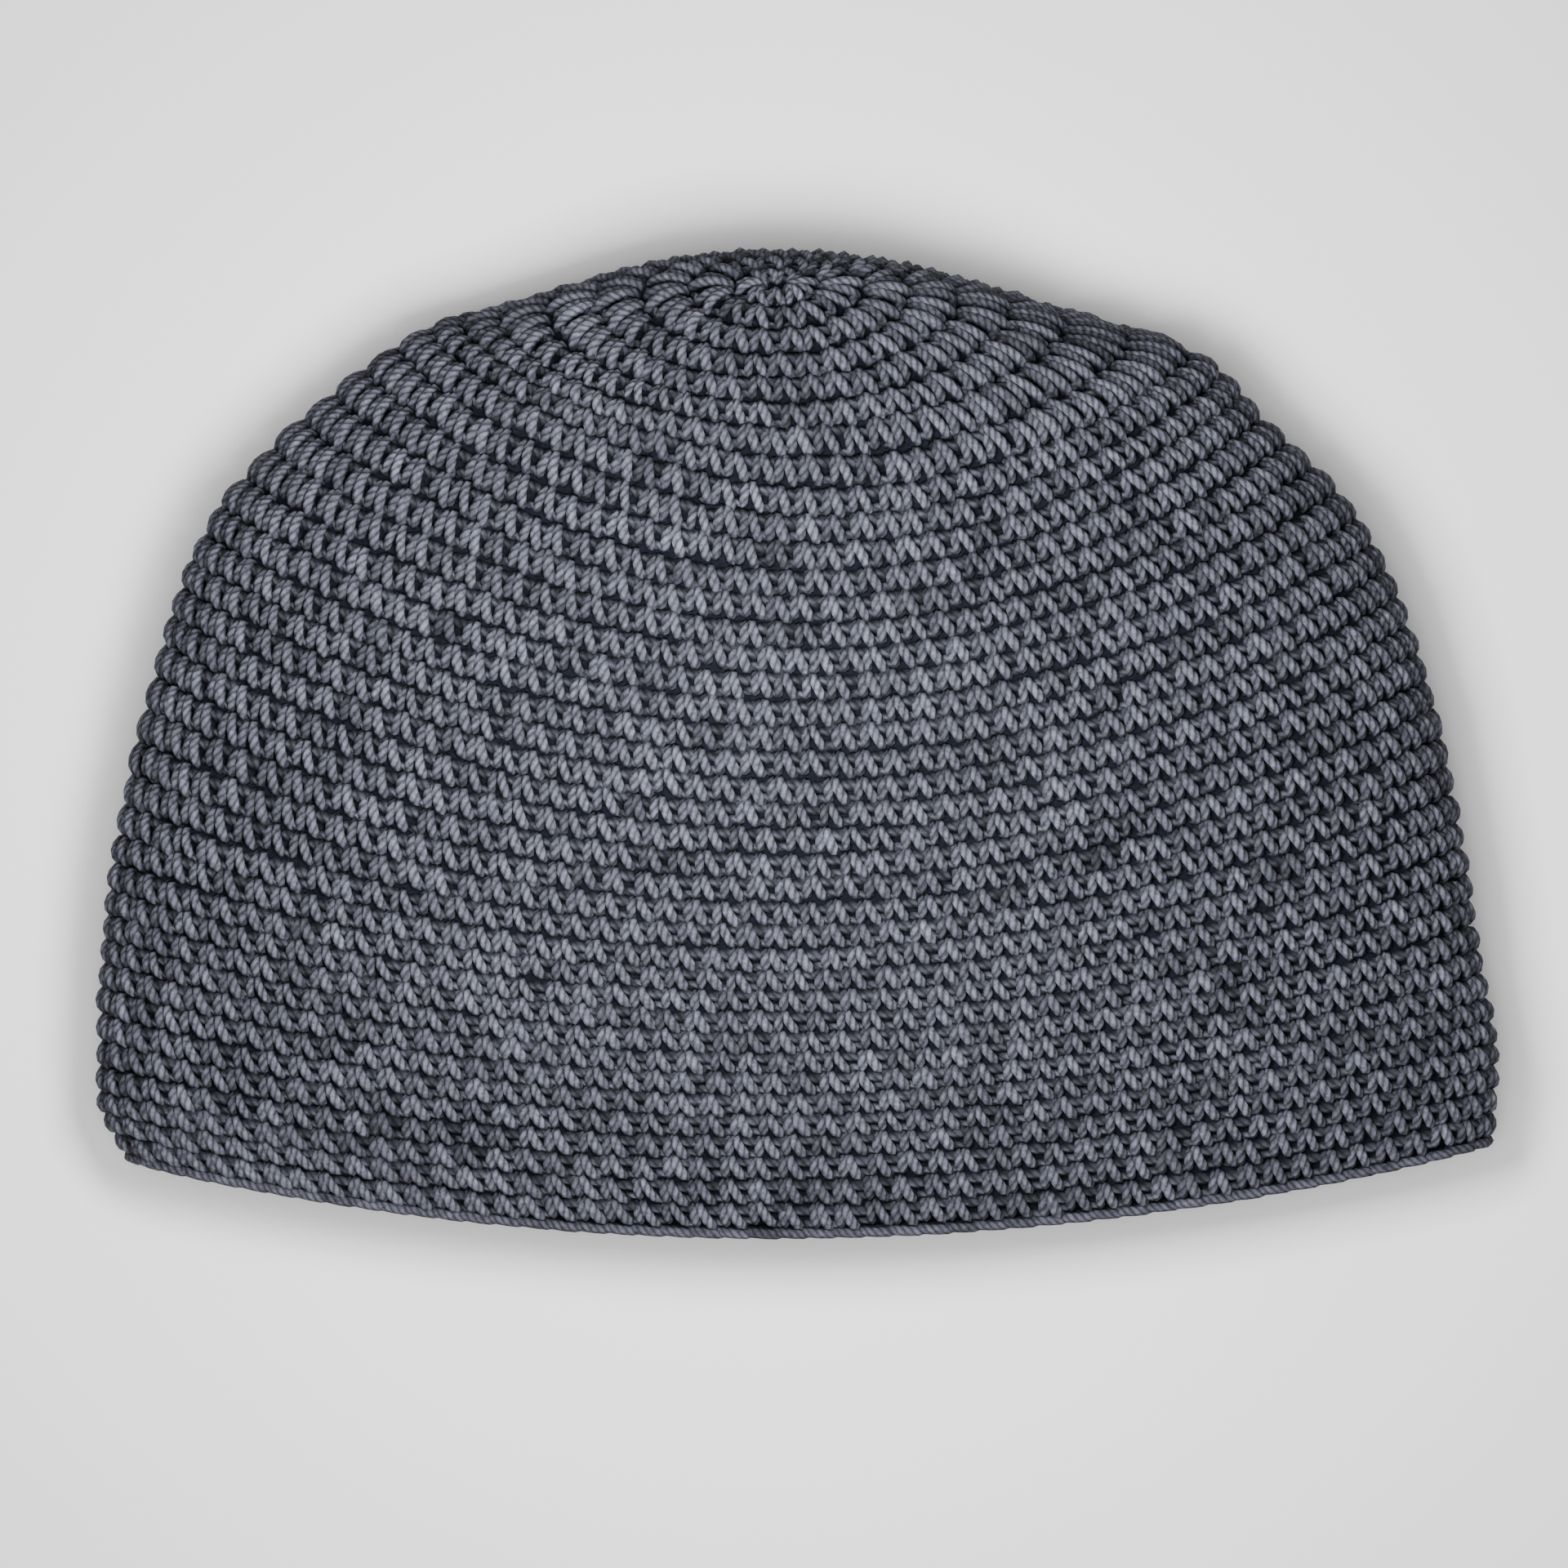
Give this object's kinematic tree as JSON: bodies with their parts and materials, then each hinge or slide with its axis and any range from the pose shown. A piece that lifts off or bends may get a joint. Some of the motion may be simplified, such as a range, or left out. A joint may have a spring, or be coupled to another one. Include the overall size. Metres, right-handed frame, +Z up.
{
  "type": "kufi",
  "caption": "Soft brimless cap crocheted in rounds from the middle of its crown to a thin finishing round at the rim, hollow for a head, lying on its back half.",
  "frame": {"origin": "on the ground under the middle of the cap's box, as it lies on its back half", "axes": "+X across the cap from its left side fold to its right, +Y from the mouth towards the crown, +Z up out of the ground through the puffed front half"},
  "size_m": [0.2696, 0.1899, 0.056],
  "materials": {
    "yarn": "matte dark slate grey cotton yarn in crocheted rounds, slightly fuzzy",
    "edge_yarn": "the same yarn in a smooth finishing round of slip stitches"
  },
  "bodies": {
    "root": {"cap_shell": "yarn", "edge_round": "edge_yarn"}
  },
  "joints": []
}
